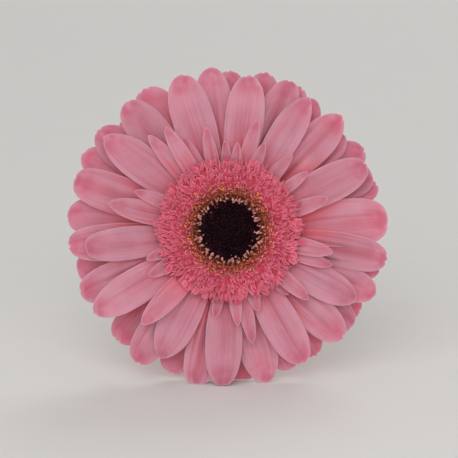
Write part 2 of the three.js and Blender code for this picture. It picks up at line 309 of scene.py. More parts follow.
def makePetalFinish():
    # A petal's colours by its place on it: a root colour that is partly its deeper base and partly painted
    # warm shade, painted sheen on the flanks and in patches, painted shade in the grooves and along fine
    # groove lines, a tip blush with painted shade towards the tip, and a painted highlight along the rim.
    make, given, result = newGroup("petalFinish", "ShaderNodeTree", petalColours, finishResults)
    across, along, fromMiddle = petalPlace(make)
    where = make.objectPlace()
    tone = make.attribute("tone")

    mottle = make.noise(where, petalPattern["mottle"], 3.0)
    skin = make.noise(where, petalPattern["skin"], 2.0)
    crowded = make.times(across, given["Streaks"])
    apart = make.times(tone, 9.0)
    streak = make.noise(make.vector(crowded, along, apart), petalPattern["streak"], 2.0)
    # Fine groove lines: thin lines of painted shade, fading out towards the tip.
    grooveLinePlace = make.vector(crowded, make.times(along, 0.5), make.plus(apart, 30.0))
    grooveLineShade = make.ease(make.noise(grooveLinePlace, petalPattern["grooveLineShade"], 1.0), 0.56, 0.7)
    grooveLineShade = make.times(grooveLineShade, make.minus(1.0, make.ease(along, 0.65, 0.92)))

    # The root colour is partly the petal's deeper base and partly painted warm shade; the root spread
    # carries it further out on the flanks, where the petal lies under others.
    rootPlace = make.minus(along, make.times(fromMiddle, given["Root Shade Spread"]))
    rootMask = make.minus(1.0, make.ease(rootPlace, 0.05, given["Root Length"]))
    rootMask = make.times(rootMask, make.timesPlus(tone, 0.2, 0.82))
    # Painted sheen: pale patches, and pale flanks towards the petal's edges.
    sheenPatches = make.ease(make.noise(where, petalPattern["sheenPatches"], 1.0), 0.42, 0.66)
    sheenFlanks = make.times(make.ease(fromMiddle, 0.1, 0.8), 0.8)
    sheenPatches = make.calc("MAXIMUM", sheenPatches, sheenFlanks)
    sheenPatchMask = make.times(sheenPatches, given["Patch Strength"], make.ease(along, given["Patch Start"], 0.6))
    # The tip colour is a blush at the tip, and also painted shade where the light falls off towards the
    # tip.
    tipStart = make.minus(1.0, given["Tip Length"])
    blush = make.ease(make.noise(where, petalPattern["blush"], 1.0), 0.3, 0.62)
    tipMask = make.times(
        make.ease(along, tipStart, 0.97), given["Tip Strength"], make.timesPlus(blush, 0.75, 0.25),
        make.minus(1.0, make.ease(fromMiddle, 0.3, 1.1)),
    )
    # A painted highlight along the petal's edges and tip.
    sideRimHighlight = make.ease(fromMiddle, make.minus(1.0, given["Rim Width"]), 1.0)
    tipRimHighlight = make.ease(along, make.minus(1.0, given["Tip Rim Width"]), 1.0)
    rimHighlightMask = make.times(make.calc("MAXIMUM", sideRimHighlight, tipRimHighlight), 0.7)
    # Painted shade in the grooves and along the groove lines.
    hollow = make.attribute("hollow")
    grooveShadeMask = make.calc("MULTIPLY_ADD", grooveLineShade, given["Groove Line Strength"], hollow, clamp=True)

    shade = given["Colour"]
    for mask, name in (
        (sheenPatchMask, "Sheen Patch"), (rootMask, "Root"), (grooveShadeMask, "Groove Shade"), (tipMask, "Tip"),
        (make.attribute("underside"), "Underside"), (rimHighlightMask, "Rim Highlight"),
    ):
        shade = make.mixColour(mask, shade, given[name + " Colour"])
    light = make.times(
        make.timesPlus(tone, given["Variety"], 1.0), make.around(streak, given["Streak Strength"]),
        make.around(mottle, given["Mottle Strength"]),
    )
    make.feed(result["Colour"], make.mixColour(1.0, shade, light, "MULTIPLY"))
    make.feed(result["Height"], make.timesPlus(skin, 0.35, streak))
    return make.tree


def makeFleckFinish():
    # Two colours mixed by fine flecks, with their own root, tip and cut surface.
    make, given, result = newGroup(
        "fleckFinish", "ShaderNodeTree",
        {
            "Colour": (0.2, 0.3, 0.1), "Fleck Colour": (0.3, 0.4, 0.15), "Root Colour": (0.2, 0.1, 0.1),
            "Tip Colour": (0.3, 0.2, 0.1), "Cut Colour": (0.5, 0.5, 0.3), "Root Length": 0.3,
            "Tip Length": 0.2, "Tip Strength": 0.0, "Fleck Size": 900.0, "Stretch": (1.0, 1.0, 1.0),
            "Variety": 0.15,
        },
        finishResults,
    )
    along = petalPlace(make)[1]
    stretch = {0: make.objectPlace(), 1: given["Stretch"]}
    stretched = make.add("ShaderNodeVectorMath", stretch, operation="MULTIPLY")
    flecks = make.noise(stretched, given["Fleck Size"], 4.0)
    rootMask = make.minus(1.0, make.ease(along, 0.0, given["Root Length"]))
    tipMask = make.ease(along, make.minus(1.0, given["Tip Length"]), 1.0)
    tipMask = make.times(tipMask, given["Tip Strength"])
    shade = make.mixColour(make.ease(flecks, 0.4, 0.65), given["Colour"], given["Fleck Colour"])
    for mask, name in ((rootMask, "Root"), (tipMask, "Tip"), (make.attribute("hollow"), "Cut")):
        shade = make.mixColour(mask, shade, given[name + " Colour"])
    light = make.timesPlus(make.attribute("tone"), given["Variety"], 1.0)
    make.feed(result["Colour"], make.mixColour(1.0, shade, light, "MULTIPLY"))
    make.feed(result["Height"], flecks)
    return make.tree


# What a material has unless it says otherwise. Depths are in metres.
plainSkin = {
    "Roughness": 0.6, "Specular IOR Level": 0.3, "Subsurface Radius": (1.0, 0.35, 0.35),
    "Subsurface Scale": 0.0008,
}
relief = {"Distance": 0.00008, "Strength": 0.6}


def newMaterial(name):
    material = bpy.data.materials.new(name)
    material.use_nodes = True
    make = TreeMaker(material.node_tree)
    return material, make, make.tree.nodes["Principled BSDF"]


def makeMaterial(name, finish, values):
    # A Principled material with a finish. The values are the finish's or the shader's own.
    material, make, shader = newMaterial(name)
    group = make.node("ShaderNodeGroup", node_tree=finish)
    for key, value in {**plainSkin, **values}.items():
        owner = group if key in group.inputs else shader
        socket = owner.inputs[key]
        socket.default_value = opaque(value) if socket.type == "RGBA" else value
    inputs = {**relief, "Height": group.outputs["Height"]}
    make.feed(shader.inputs["Base Color"], group.outputs["Colour"])
    make.feed(shader.inputs["Normal"], make.add("ShaderNodeBump", inputs))
    return material


petalSkin = {
    "Roughness": 0.5, "Specular Tint": (1.0, 0.5, 0.55), "Subsurface Weight": 0.65,
    "Subsurface Scale": 0.0024, "Sheen Weight": 0.15, "Sheen Tint": (1.0, 0.45, 0.52),
}
# Each kind's root colour and root length also set how far the painted warm shade near the root reaches,
# furthest on the back petals.
petalKinds = {
    "backPetal": {
        "Colour": (0.46, 0.205, 0.275), "Root Colour": (0.84, 0.115, 0.155),
        "Sheen Patch Colour": (0.49, 0.26, 0.34), "Rim Highlight Colour": (0.62, 0.35, 0.41), "Root Length": 0.82,
    },
    "petal": {},
    "frontPetal": {
        "Colour": (0.52, 0.21, 0.28), "Root Colour": (0.82, 0.09, 0.125), "Root Length": 0.66,
        "Root Shade Spread": 0.0, "Patch Start": -0.4, "Groove Line Strength": 0.25,
    },
    "innerPetal": {
        "Root Colour": (0.8, 0.08, 0.12), "Root Length": 0.8, "Root Shade Spread": 0.1, "Tip Length": 0.25,
        "Rim Width": 0.09, "Rim Highlight Colour": (0.7, 0.34, 0.39), "Tip Rim Width": 0.02, "Streaks": 8.0,
        "Groove Line Strength": 0.6,
    },
}
# The lobes' rim colour is a painted highlight along their edges.
floretColours = {
    "Colour": (0.58, 0.05, 0.12), "Root Colour": (0.58, 0.035, 0.085), "Tip Colour": (0.62, 0.08, 0.155),
    "Rim Highlight Colour": (0.84, 0.27, 0.345), "Underside Colour": (0.64, 0.08, 0.15), "Patch Strength": 0.0,
    "Root Length": 0.5, "Root Shade Spread": 0.0, "Tip Length": 0.4, "Tip Strength": 0.5,
    "Rim Width": 0.26, "Tip Rim Width": 0.06, "Streaks": 3.0,
    "Streak Strength": 0.12, "Groove Line Strength": 0.0, "Mottle Strength": 0.2, "Variety": 0.14,
    "Roughness": 0.5, "Specular IOR Level": 0.25, "Sheen Weight": 0.1, "Subsurface Weight": 0.2,
    "Subsurface Scale": 0.001,
}
floretKinds = {
    "floret": {},
    "outerFloret": {
        "Colour": (0.57, 0.11, 0.165), "Tip Colour": (0.56, 0.17, 0.23), "Rim Highlight Colour": (0.74, 0.3, 0.35),
    },
    "collarFloret": {
        "Colour": (0.9, 0.2, 0.19), "Root Colour": (0.82, 0.13, 0.1), "Tip Colour": (0.88, 0.27, 0.23),
        "Rim Highlight Colour": (0.84, 0.36, 0.27), "Variety": 0.25,
    },
}
blackBud = {
    "Colour": (0.01, 0.0025, 0.0045), "Fleck Colour": (0.016, 0.004, 0.007), "Roughness": 0.8,
    "Specular IOR Level": 0.05,
}
fleckKinds = {
    "floretBed": {
        "Colour": (0.4, 0.03, 0.07), "Fleck Colour": (0.52, 0.055, 0.1),
        "Root Colour": (0.52, 0.12, 0.05), "Root Length": 0.9, "Roughness": 0.7,
        "Specular IOR Level": 0.1,
    },
    "anther": {
        "Colour": (0.7, 0.2, 0.045), "Fleck Colour": (0.8, 0.33, 0.08), "Fleck Size": 1500.0,
        "Root Colour": (0.52, 0.11, 0.05), "Root Length": 0.8, "Variety": 0.45, "Roughness": 0.7,
    },
    "stigma": {
        "Colour": (0.46, 0.17, 0.155), "Fleck Colour": (0.58, 0.26, 0.235), "Fleck Size": 1200.0,
        "Root Colour": (0.22, 0.04, 0.035), "Root Length": 0.7, "Variety": 0.35,
    },
    "pappus": {
        "Colour": (0.68, 0.22, 0.12), "Fleck Colour": (0.76, 0.34, 0.2),
        "Root Colour": (0.56, 0.11, 0.055), "Root Length": 0.5, "Variety": 0.4, "Roughness": 0.7,
    },
    "bud": {**blackBud, "Root Colour": (0.004, 0.001, 0.0015), "Root Length": 0.4, "Variety": 0.4},
    "discHeart": {**blackBud, "Root Colour": (0.3, 0.06, 0.03), "Root Length": 1.0},
    "bract": {
        "Colour": (0.1, 0.18, 0.04), "Fleck Colour": (0.15, 0.24, 0.06), "Fleck Size": 700.0,
        "Root Colour": (0.17, 0.25, 0.08), "Root Length": 0.5, "Variety": 0.25,
        "Tip Colour": (0.16, 0.075, 0.045), "Tip Length": 0.3, "Tip Strength": 0.7,
    },
    "stem": {
        "Colour": (0.17, 0.27, 0.07), "Fleck Colour": (0.21, 0.32, 0.095), "Fleck Size": 1600.0,
        "Root Colour": (0.22, 0.22, 0.09), "Root Length": 0.12, "Variety": 0.3,
        "Tip Colour": (0.19, 0.24, 0.09), "Tip Length": 0.3, "Tip Strength": 0.6,
        "Cut Colour": (0.5, 0.56, 0.3), "Stretch": (1.0, 0.05, 1.0), "Roughness": 0.5,
        "Subsurface Weight": 0.05,
    },
    "hair": {
        "Colour": (0.42, 0.48, 0.28), "Fleck Colour": (0.52, 0.56, 0.38), "Fleck Size": 400.0,
        "Root Colour": (0.28, 0.36, 0.14), "Root Length": 0.6,
    },
}

petalFinish = makePetalFinish()
fleckFinish = makeFleckFinish()
materials = {}
for kinds, finish, shared in (
    (petalKinds, petalFinish, petalSkin),
    (floretKinds, petalFinish, floretColours),
    (fleckKinds, fleckFinish, {}),
):
    for kind, own in kinds.items():
        materials[kind] = makeMaterial(kind, finish, {**shared, **own})
print("finishes ready")


# Each petal: direction in degrees, reach and width in millimetres, point (less for a blunt petal) and,
# where it has one, how deep it folds along its middle. The inner petals share one point.
backPetals = [
    (16.5, 53.6, 11.5, 1.15), (21.5, 52.6, 12, 0.6), (31.8, 54.3, 13.5, 1), (41.5, 51.5, 13.5, 0.8),
    (56.5, 53.8, 13, 1.25), (64, 55, 11.5, 1), (76, 55.8, 12.5, 1), (90, 54.7, 12, 0.9),
    (104.5, 52.2, 13.5, 1), (120.8, 56.7, 15.2, 1), (133.5, 52.8, 13, 1), (142.5, 56.7, 14.5, 1.15),
    (152.5, 56.9, 13.5, 1.15), (174, 55.7, 14, 0.85), (196, 54, 13, 0.6), (207.5, 52.4, 12.5, 1),
    (224.8, 54.4, 13.4, 0.8), (236, 51.6, 13, 1), (247, 53.1, 12.5, 0.7), (262, 51, 13, 1),
    (275, 52.8, 13, 0.9), (294, 52.3, 13, 0.9), (305.5, 52.6, 12.5, 1), (322, 53.8, 12, 0.7),
    (328, 53.2, 11.5, 0.6), (344.5, 53.5, 11, 1), (356, 48.6, 12, 1),
]
middlePetals = [
    (3.7, 54.5, 16.5, 0.7, 0.5), (45.2, 55, 12.8, 1.4, 0.3), (68, 55.3, 12.4, 0.9, 0.9),
    (97, 56, 12.6, 1, 0.3), (129, 56.2, 13.8, 1, 0.1), (162.7, 55.6, 13.4, 0.65, 0.5),
    (186, 55.3, 12.6, 0.9, 0.2), (203.5, 55.3, 12.4, 0.75, 0.3), (234.7, 55.5, 12.8, 0.9, 0.4),
    (258, 54.7, 12.2, 0.9, 0.9), (283.8, 54, 13, 1.25, 0.2), (316, 53.8, 12.8, 1, 0.3),
    (335.7, 54.8, 12.2, 0.95, 0.2), (350, 55, 12, 0.8, 0.9),
]
frontPetals = [
    (24.5, 52.1, 12.8, 1), (59.5, 52.9, 11.2, 1.6), (82, 53.3, 13.2, 1.05, 0.5),
    (108, 55.5, 14.2, 1, 0.1), (142.8, 53.3, 12.6, 1.55), (187.5, 49.4, 11.4, 0.7),
    (211.3, 54.3, 12.6, 1.35, 0.1), (241, 49.8, 13, 1.6), (267.2, 53.5, 12.6, 1.05, 0.3),
    (299, 52.1, 13, 1.05, 0.1), (330.5, 49.6, 11.5, 1.25, 0.1),
]
innerPetals = [
    (17, 35.4, 5.4), (36, 33.3, 4.2), (51, 33.7, 4.8), (68, 32, 4.2), (76, 38.8, 5.2), (84, 30, 3.8),
    (92, 30.4, 3.8), (103.5, 35.8, 4.6), (116.5, 35.4, 5.4), (122, 41.2, 5.6), (130, 42.3, 5.6),
    (157, 34.7, 4.8), (168, 41.9, 7.8), (199, 30, 4.2), (210, 31.8, 5), (228, 43.6, 7.8),
    (261, 30.2, 4.2), (275, 32.7, 4.2), (282, 39.5, 5), (290, 29.4, 4.6), (312, 30, 4),
    (319, 35.8, 5.4), (340.5, 37.1, 4.8), (347.5, 36.1, 5.8),
]
innerPoint = 1.3
innerPetals = [(*petal, innerPoint) for petal in innerPetals]

# How each whorl is built. Heights are above the involucre's rim. Petals take two levels in turn, the
# second higher by the step and steeper by the spread.
whorls = {
    "backPetals": {
        "petals": backPetals, "node": "ray_petals_back", "slot": "back_petal", "finish": "backPetal",
        "seed": 11, "shoulder": 0.7, "root": 0.85, "step": 0.95, "rise": 0.0, "spread": 2.4, "droop": 1.4,
        "cup": 0.7, "groove": 0.34, "wave": 0.3,
    },
    "middlePetals": {
        "petals": middlePetals, "node": "ray_petals_middle", "slot": "petal", "finish": "petal",
        "seed": 23, "shoulder": 0.68, "root": 3.2, "step": 0.0, "rise": 6.0, "spread": 1.0, "droop": 2.2,
        "cup": 0.9, "groove": 0.5, "wave": 0.32,
    },
    "frontPetals": {
        "petals": frontPetals, "node": "ray_petals_front", "slot": "petal", "finish": "frontPetal",
        "seed": 37, "shoulder": 0.64, "root": 4.7, "step": 0.0, "rise": 10.5, "spread": 0.0, "droop": 2.8,
        "cup": 0.7, "groove": 0.36, "wave": 0.24,
    },
    "innerPetals": {
        "petals": innerPetals, "node": "inner_petals", "slot": "inner_petal", "finish": "innerPetal",
        "seed": 41, "shoulder": 0.56, "root": 6.4, "step": 0.0, "rise": 12.5, "spread": 4.0, "droop": 0.5,
        "cup": 0.5, "groove": 0.1, "wave": 0.12,
    },
}
# The fold shade is how much painted shade a groove's depth gives.
petalBuild = {
    "rows": 30, "columns": 30, "thickness": 0.5, "rimThickness": 0.16, "rootRadius": 9.5,
    "rootWidth": 0.2, "tipShare": 0.5, "bluntness": 0.2, "toothPlace": 0.32, "toothDepth": 0.38,
    "toothWidth": 0.17, "foldPlaces": (-0.56, -0.2, 0.2, 0.56), "foldWidth": 0.1, "foldColour": 0.6,
    "creaseWidth": 0.18, "creaseRoll": 0.35, "ridgeHeight": 0.2, "ridgeWidth": 0.2, "waves": 1.6,
    "tipCurl": 0.5, "pressHeight": 1.0,
}
# How far petals may differ from each other, in degrees for the rise, lean and twist.
petalVariety = {
    "rise": 0.6, "lean": 1.6, "twist": 3.5, "droop": 0.25, "cup": 0.3, "waves": 0.5, "foldPlace": 0.12,
    "foldSway": 0.14, "foldWidth": 0.4, "toothPlace": 0.14,
}


def petalHalfWidth(share, shoulder, point):
    if share < shoulder:
        rootWidth = petalBuild["rootWidth"]
        return rootWidth + (1 - rootWidth) * math.sin(math.pi / 2 * share / shoulder) ** 1.15
    toTip = (share - shoulder) / (1 - shoulder)
    taper = (1 - toTip ** 2.8) ** (0.68 * point)
    blunt = (1 - toTip ** 12) ** 0.5
    return taper + petalBuild["bluntness"] * (blunt - taper)


def petalEnd(across, shoulder, point):
    # How far along the petal its tip's outline lies, at that place across the last row, by halving.
    width = petalBuild["tipShare"] * abs(across)
    low, high = shoulder, 1
    for _ in range(20):
        middle = (low + high) / 2
        if petalHalfWidth(middle, shoulder, point) > width:
            low = middle
        else:
            high = middle
    return low


def petalThickness(place):
    fromMiddle = abs(2 * place[0] - 1)
    thin = max(fromMiddle ** 4, smooth(0.85, 1, place[1]))
    return petalBuild["thickness"] + (petalBuild["rimThickness"] - petalBuild["thickness"]) * thin


tableUp = bloomMatrix.to_3x3().inverted() @ Vector((0, 0, mm))


def settled(point):
    # Moves a point of the bloom that would reach through the table to just above it.
    height = (bloomMatrix @ point).z / mm
    press = petalBuild["pressHeight"]
    if height >= press:
        return point
    return point + tableUp * (press * math.exp(height / press - 1) - height)


def someDepth(fine):
    # Between 0, which about one in five gets, and 1.4.
    return max(0, 0.5 + 0.9 * next(fine))


def addPetal(maker, petal, whorl, level, vary, fine):
    direction, reach, width, point, fold = (*petal, 0)[:5]
    build, loose = petalBuild, petalVariety
    length = reach - build["rootRadius"]
    rise = math.tan(math.radians(whorl["rise"] + level * whorl["spread"] + loose["rise"] * next(vary)))
    droop = whorl["droop"] * (1 + loose["droop"] * next(vary))
    lean = loose["lean"] * next(vary)
    twist = math.tan(math.radians(loose["twist"] * next(vary)))
    cup = whorl["cup"] * (1 + loose["cup"] * next(vary))

    shoulder = whorl["shoulder"]
    rowCount, columnCount = build["rows"], build["columns"]
    columns = [2 * j / columnCount - 1 for j in range(columnCount + 1)]
    ends = [petalEnd(u, shoulder, point) for u in columns]
    sideEnd = ends[0]
    folds = []
    for place in build["foldPlaces"]:
        foldPlace = place + loose["foldPlace"] * next(fine)
        sway = loose["foldSway"] * next(fine)
        foldWidth = build["foldWidth"] * (1 + loose["foldWidth"] * next(fine))
        folds.append((foldPlace, sway, foldWidth, whorl["groove"] * someDepth(fine)))
    ridge = build["ridgeHeight"] * next(fine)
    wavePhase = [math.pi * next(fine), math.pi * next(fine)]
    waveCount = build["waves"] + loose["waves"] * next(fine)
    tipCurl = build["tipCurl"] * next(fine)
    teeth = []
    for side in (-1, 1):
        place = side * (build["toothPlace"] + loose["toothPlace"] * next(fine))
        teeth.append((place, build["toothDepth"] * someDepth(fine)))
    tone = next(fine)

    rows, places, hollows = [], [], []
    for i in range(rowCount + 1):
        t = 1 - (1 - i / rowCount) ** 1.5
        side = t * sideEnd
        half = width / 2 * petalHalfWidth(side, shoulder, point)
        row, rowPlaces, rowHollows = [], [], []
        for u, end in zip(columns, ends):
            share = side + (end - sideEnd) * t ** 5
            notch = sum(depth * bump(u, place, build["toothWidth"]) for place, depth in teeth)
            share -= notch * width / 12 / length * t ** 12
            angle = math.radians(direction + lean * (share ** 2 - 0.5 * share))
            out = Vector((math.cos(angle), math.sin(angle), 0))
            sideways = Vector((-out.y, out.x, 0))
            body = math.sin(math.pi * min(1, share * 0.93) ** 0.8)
            groove = sum(
                depth * bump(u, place + sway * (share - 0.5), foldWidth)
                for place, sway, foldWidth, depth in folds
            )
            crease = fold * bump(u, 0, build["creaseWidth"])
            height = whorl["root"] + level * whorl["step"] + rise * length * share - droop * share ** 3
            height += cup * min(1, 4 * share) * (2 * half / width) * u * u
            height += twist * u * half * share
            height += (ridge * bump(u, 0, build["ridgeWidth"]) - groove - crease) * body
            height += build["creaseRoll"] * fold * bump(abs(u), 0.42, 0.2) * body
            phase = wavePhase[0] if u > 0 else wavePhase[1]
            height += whorl["wave"] * u * u * share * math.sin(2 * math.pi * waveCount * share + phase)
            height += tipCurl * smooth(0.82, 1.05, share)
            radius = build["rootRadius"] + length * share
            row.append(settled(out * radius + sideways * (u * half) + Vector((0, 0, height))))
            rowPlaces.append(((u + 1) / 2, t))
            # How much painted shade the point gets for lying in a groove or the middle crease.
            rowHollows.append(min(1, (build["foldColour"] * groove + 0.6 * crease) * body))
        rows.append(row)
        places.append(rowPlaces)
        hollows.append(rowHollows)
    addBlade(maker, rows, places, petalThickness, tone, hollows)


def makeWhorl(name, whorl):
    vary = dice(whorl["seed"])
    fine = dice(whorl["seed"] + 100)
    maker = MeshMaker()
    for i, petal in enumerate(whorl["petals"]):
        addPetal(maker, petal, whorl, i % 2, vary, fine)
    piece = maker.finish(name, materials[whorl["finish"]], bloomMatrix)
    keep(piece, whorl["slot"], whorl["node"])


for whorlName, whorl in whorls.items():
    makeWhorl(whorlName, whorl)


scatterSockets = {"Geometry": "Geometry", "Shape": "Object", "Material": "Material"}


def finishScatter(make, given, result, points, rotation, size, tone=None):
    # Sets the shape on the points and makes one mesh of the copies.
    shape = make.node("GeometryNodeObjectInfo", {"Object": given["Shape"]}).outputs["Geometry"]
    inputs = {"Points": points, "Instance": shape, "Rotation": rotation, "Scale": size}
    made = make.add("GeometryNodeInstanceOnPoints", inputs)
    if tone:
        inputs = {"Geometry": made, "Name": "tone", "Value": tone}
        made = make.add("GeometryNodeStoreNamedAttribute", inputs, data_type="FLOAT", domain="INSTANCE")
    made = make.add("GeometryNodeRealizeInstances", {"Geometry": made})
    made = make.add("GeometryNodeSetMaterial", {"Geometry": made, "Material": given["Material"]})
    make.feed(result["Geometry"], made)
    return make.tree


def makeSpiralScatter():
    # Sets a shape on a spiral of points round the bloom's axis. Their height is height + slope * r +
    # curve * r * r, with r counted from the inner radius. Each copy leans outwards.
    make, given, result = newGroup(
        "spiralScatter", "GeometryNodeTree",
        {
            **scatterSockets, "Count": 100, "Inner Radius": 1.0, "Outer Radius": 2.0, "Height": 0.0,
            "Slope": 0.0, "Curve": 0.0, "Inner Lean": 0.0, "Outer Lean": 0.0, "Loose Lean": 0.1,
            "Loose Turn": 0.0, "Loose Place": 0.1, "Inner Size": 1.0, "Outer Size": 1.0,
            "Loose Size": 0.1, "Seed": 0,
        },
        {"Geometry": "Geometry"},
    )
    index = make.add("GeometryNodeInputIndex")
    inner, outer = given["Inner Radius"], given["Outer Radius"]

    def loose(amount, stream):
        inputs = {2: make.times(amount, -1.0), 3: amount, 7: index, 8: make.plus(given["Seed"], stream)}
        return make.node("FunctionNodeRandomValue", inputs, data_type="FLOAT").outputs[1]

    def between(low, high, share):
        return make.timesPlus(make.minus(high, low), share, low)

    share = make.calc("DIVIDE", make.plus(index, 0.5), given["Count"])
    square = between(make.times(inner, inner), make.times(outer, outer), share)
    radius = make.plus(make.calc("SQRT", square), loose(given["Loose Place"], 1.0))
    goldenAngle = math.pi * (3 - math.sqrt(5))
    shift = make.calc("DIVIDE", loose(given["Loose Place"], 2.0), radius)
    angle = make.timesPlus(index, goldenAngle, shift)
    span = make.minus(radius, inner)
    rise = make.timesPlus(span, given["Curve"], given["Slope"])
    height = make.timesPlus(span, rise, given["Height"])
    east = make.times(radius, make.calc("COSINE", angle))
    north = make.times(radius, make.calc("SINE", angle))
    inputs = {"Count": given["Count"], "Position": make.vector(east, north, height)}
    points = make.add("GeometryNodePoints", inputs)

    outward = make.calc("DIVIDE", span, make.minus(outer, inner))
    tilts = [loose(given["Loose Lean"], stream) for stream in (3.0, 4.0, 5.0)]
    lean = make.plus(between(given["Inner Lean"], given["Outer Lean"], outward), tilts[1])
    turn = make.vector(tilts[0], lean, make.plus(angle, tilts[2]))
    rotation = make.add("FunctionNodeEulerToRotation", {0: turn})
    rotation = make.turned(rotation, make.vector(0.0, 0.0, loose(given["Loose Turn"], 8.0)))
    size = between(given["Inner Size"], given["Outer Size"], outward)
    size = make.plus(size, loose(given["Loose Size"], 6.0))
    return finishScatter(make, given, result, points, rotation, size, loose(1.0, 7.0))


spiralScatter = makeSpiralScatter()


def applyNodes(name, tree, values, carrier=None, matrix=None):
    # Runs a node tree on a carrier mesh and turns the result into a plain mesh. Two or three values
    # together are for the inner, outer and loose inputs of that name.
    holder = linked(name, carrier or bpy.data.meshes.new(name))
    modifier = holder.modifiers.new("nodes", "NODES")
    modifier.node_group = tree
    inputs = [item for item in tree.interface.items_tree if item.in_out == "INPUT"]
    identifiers = {item.name: item.identifier for item in inputs}
    for label, value in values.items():
        if isinstance(value, tuple):
            for part, number in zip(("Inner ", "Outer ", "Loose "), value):
                modifier[identifiers[part + label]] = number
        else:
            modifier[identifiers[label]] = value
    graph = bpy.context.evaluated_depsgraph_get()
    finished = holder.evaluated_get(graph)
    mesh = bpy.data.meshes.new_from_object(finished, preserve_all_data_layers=True, depsgraph=graph)
    bpy.data.objects.remove(holder)
    if matrix is not None:
        mesh.transform(matrix)
    mesh.name = name
    return linked(name, mesh)


def joinPieces(name, pieces):
    # Joins pieces into the first one.
    with bpy.context.temp_override(active_object=pieces[0], selected_editable_objects=pieces):
        bpy.ops.object.join()
    pieces[0].name = name
    pieces[0].data.name = name
    return pieces[0]


def strapShape(
    name, finish, outline, length, width, curl, hollow, twist=0, notch=0, columns=4, thickness=0.14,
):
    # A small strap that stands on its root, curls towards +X and twists, hollow on the side it then shows,
    # with a notch in its tip. Its outline is a list of [share along, share of the width].
    maker = MeshMaker()
    lines, places = [], []
    across = [2 * j / columns - 1 for j in range(columns + 1)]
    for share, wide in outline:
        ownTwist = twist * share
        half = width / 2 * wide
        lift = hollow * wide
        line = []
        for u in across:
            turn = curl * (share - notch * (1 - abs(u)) * share ** 4)
            middle = Vector((1 - math.cos(turn), 0, math.sin(turn))) * (length / curl)
            outwards = Vector((math.cos(turn), 0, -math.sin(turn)))
            sideways = Vector((0, -math.cos(ownTwist), 0)) + outwards * math.sin(ownTwist)
            line.append(middle + outwards * (lift * (1 - u * u)) + sideways * (u * half))
        lines.append(line)
        places.append([((u + 1) / 2, share) for u in across])
    addBlade(maker, lines, places, lambda place: thickness)
    return maker.finish(name, materials[finish])


columnOutline = [(0, 0.7), (0.45, 0.8), (0.75, 1.2), (0.93, 0.9), (1, 0.35)]


def columnShape(name, finish, length, width, sides=6, outline=columnOutline, bends=((0, 0),)):
    # Small upright columns on one root, each bent over by its own amount towards +X and +Y.
    maker = MeshMaker()
    for bend in bends:
        rings = []
        for share, wide in outline:
            middle = Vector((bend[0] * share * share, bend[1] * share * share, length * share))
            ring = []
            for j in range(sides):
                angle = 2 * math.pi * j / sides
                offset = Vector((math.cos(angle), math.sin(angle), 0)) * (width / 2 * wide)
                ring.append(maker.addPoint(middle + offset, (j / sides, share)))
            rings.append(ring)
        maker.joinRings(rings)
        maker.addFace(*reversed(rings[0]))
        maker.addFace(*rings[-1])
    return maker.finish(name, materials[finish])


discHeart = {
    "sides": 72,
    "outline": [
        (0, 7.4), (11.5, 7.4), (12.5, 8.2), (12.5, 12), (12.4, 12.9), (11, 12.5), (9, 12.2), (0, 12.2),
    ],
}
floretBed = {
    "outline": [
        (12.2, 12.9), (12.2, 9.0), (14.0, 8.9), (22.7, 12.2), (22.7, 12.9), (21.4, 13.9), (18.4, 15.3),
        (15.2, 15.2), (13.6, 13.7),
    ],
    "sides": 72,
}
roundOutline = [(0, 0.55), (0.35, 0.8), (0.65, 1.0), (0.85, 0.95), (0.95, 0.7), (1, 0.35)]
forkedOutline = [(0, 0.5), (0.3, 0.75), (0.6, 0.95), (0.8, 1.0), (0.93, 0.9), (1, 0.8)]
# Straps, which have a curl, and columns.
smallShapes = {
    "broad": {
        "length": 3.7, "width": 1.6, "curl": 1.9, "hollow": 0.4, "twist": -0.5, "notch": 0.35,
        "outline": forkedOutline,
    },
    "narrow": {
        "length": 4.1, "width": 1.0, "curl": 2.2, "hollow": 0.3, "twist": 0.9, "outline": roundOutline,
    },
    "hooded": {
        "length": 3.8, "width": 2.2, "curl": 1.6, "hollow": 0.6, "twist": 0.3, "notch": 0.4,
        "outline": forkedOutline,
    },
    "outer": {
        "length": 4.4, "width": 1.9, "curl": 0.9, "hollow": 0.45, "twist": 0.3, "notch": 0.2,
        "outline": roundOutline,
    },
    "curled": {
        "length": 3.4, "width": 0.8, "curl": -1.5, "hollow": -0.2, "twist": 0.6, "columns": 2,
        "outline": [(0, 0.6), (0.35, 0.9), (0.65, 1.0), (0.88, 0.6), (1, 0.15)],
    },
    "collar": {
        "length": 2.5, "width": 0.75, "curl": 0.5, "hollow": 0.2, "columns": 2, "thickness": 0.2,
        "outline": roundOutline,
    },
    "bract": {
        "length": 7.8, "width": 2.7, "curl": -0.15, "hollow": 0.45, "thickness": 0.3,
        "outline": [(0, 0.7), (0.2, 0.9), (0.4, 1.0), (0.6, 0.85), (0.8, 0.5), (0.93, 0.22), (1, 0.06)],
    },
    "anther": {"length": 3.0, "width": 0.46},
    "stigma": {"length": 2.6, "width": 0.6, "bends": ((-0.5, -0.25), (-0.7, 0.25))},
    "bristle": {"length": 2.5, "width": 0.2, "sides": 3, "outline": [(0, 1), (0.6, 0.9), (1, 0.4)]},
    "bud": {"length": 1.9, "width": 1.05},
}
outerLobes = {
    "Count": 70, "Radius": (20.6, 22.0), "Height": 13.2, "Slope": -0.6, "Lean": (0.8, 1.2, 0.35),
    "Size": (0.8, 0.9, 0.2), "Loose Turn": 0.7, "Loose Place": 0.6, "Seed": 3,
}
hoodedLobes = {
    "Count": 200, "Radius": (16.0, 22.0), "Height": 14.4, "Curve": -0.06, "Lean": (-0.1, 0.6, 0.3),
    "Size": (0.7, 0.95, 0.15), "Loose Turn": 0.5, "Loose Place": 0.4, "Seed": 4,
}
